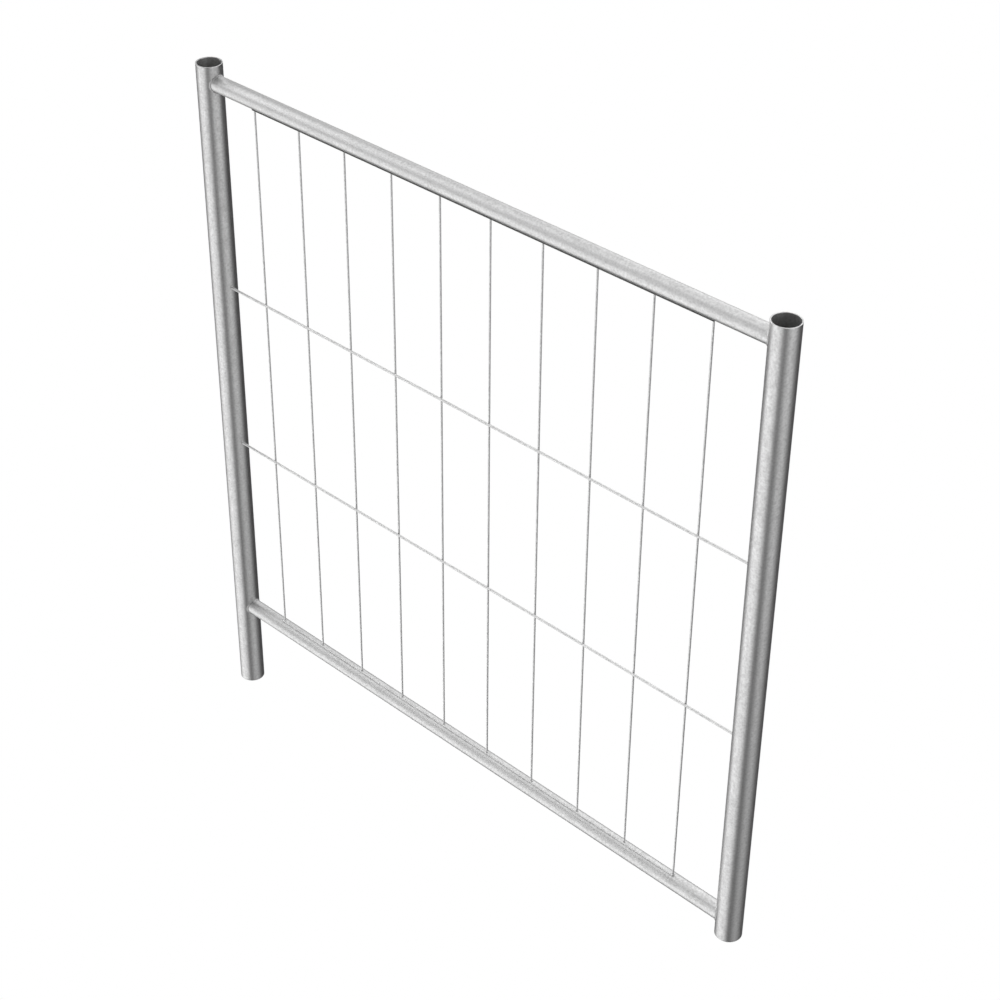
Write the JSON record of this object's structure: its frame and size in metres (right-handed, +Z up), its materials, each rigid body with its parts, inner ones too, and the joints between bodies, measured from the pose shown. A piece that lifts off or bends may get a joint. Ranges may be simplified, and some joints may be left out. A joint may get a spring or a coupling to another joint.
{
  "type": "livestock panel gate leaf",
  "caption": "Galvanised steel gate leaf: open tube posts, the left one with a long foot, joined by tube rails, with welded wire mesh between them.",
  "frame": {"origin": "on the ground, under the middle of the leaf: centre of the bounding box in X and Y, at the height of the left post's foot", "axes": "+X from the left post to the right post along the rails, +Z up along the posts, -Y the front, where the line wires are"},
  "size_m": [1.1584, 0.0424, 1.2025],
  "materials": {
    "post_tube": "hot-dip galvanised, satin grey zinc with a faint fine mottling",
    "rail_tube": "hot-dip galvanised, satin grey zinc with a faint fine mottling",
    "mesh_wire": "galvanised drawn wire, a little lighter than the tubes",
    "creviced_wire": "hot-dip galvanised wire, dull and dark, where flux and ash stay in the crevice under the rail",
    "weld_bead": "galvanised over with the tube, a little rougher"
  },
  "bodies": {
    "root": {"left_post": "post_tube", "right_post": "post_tube", "top_rail": "rail_tube", "bottom_rail": "rail_tube", "upper_line_wire": "mesh_wire", "lower_line_wire": "mesh_wire", "top_edge_wire": "creviced_wire", "bottom_edge_wire": "mesh_wire", "vertical_wire_01": "mesh_wire", "vertical_wire_02": "mesh_wire", "vertical_wire_03": "mesh_wire", "vertical_wire_04": "mesh_wire", "vertical_wire_05": "mesh_wire", "vertical_wire_06": "mesh_wire", "vertical_wire_07": "mesh_wire", "vertical_wire_08": "mesh_wire", "vertical_wire_09": "mesh_wire", "vertical_wire_10": "mesh_wire", "top_rail_weld_left": "weld_bead", "top_rail_weld_right": "weld_bead", "bottom_rail_weld_left": "weld_bead", "bottom_rail_weld_right": "weld_bead", "upper_line_wire_weld_left": "weld_bead", "upper_line_wire_weld_right": "weld_bead", "lower_line_wire_weld_left": "weld_bead", "lower_line_wire_weld_right": "weld_bead", "vertical_wire_01_weld_top": "weld_bead", "vertical_wire_01_weld_bottom": "weld_bead", "vertical_wire_02_weld_top": "weld_bead", "vertical_wire_02_weld_bottom": "weld_bead", "vertical_wire_03_weld_top": "weld_bead", "vertical_wire_03_weld_bottom": "weld_bead", "vertical_wire_04_weld_top": "weld_bead", "vertical_wire_04_weld_bottom": "weld_bead", "vertical_wire_05_weld_top": "weld_bead", "vertical_wire_05_weld_bottom": "weld_bead", "vertical_wire_06_weld_top": "weld_bead", "vertical_wire_06_weld_bottom": "weld_bead", "vertical_wire_07_weld_top": "weld_bead", "vertical_wire_07_weld_bottom": "weld_bead", "vertical_wire_08_weld_top": "weld_bead", "vertical_wire_08_weld_bottom": "weld_bead", "vertical_wire_09_weld_top": "weld_bead", "vertical_wire_09_weld_bottom": "weld_bead", "vertical_wire_10_weld_top": "weld_bead", "vertical_wire_10_weld_bottom": "weld_bead"}
  },
  "joints": []
}
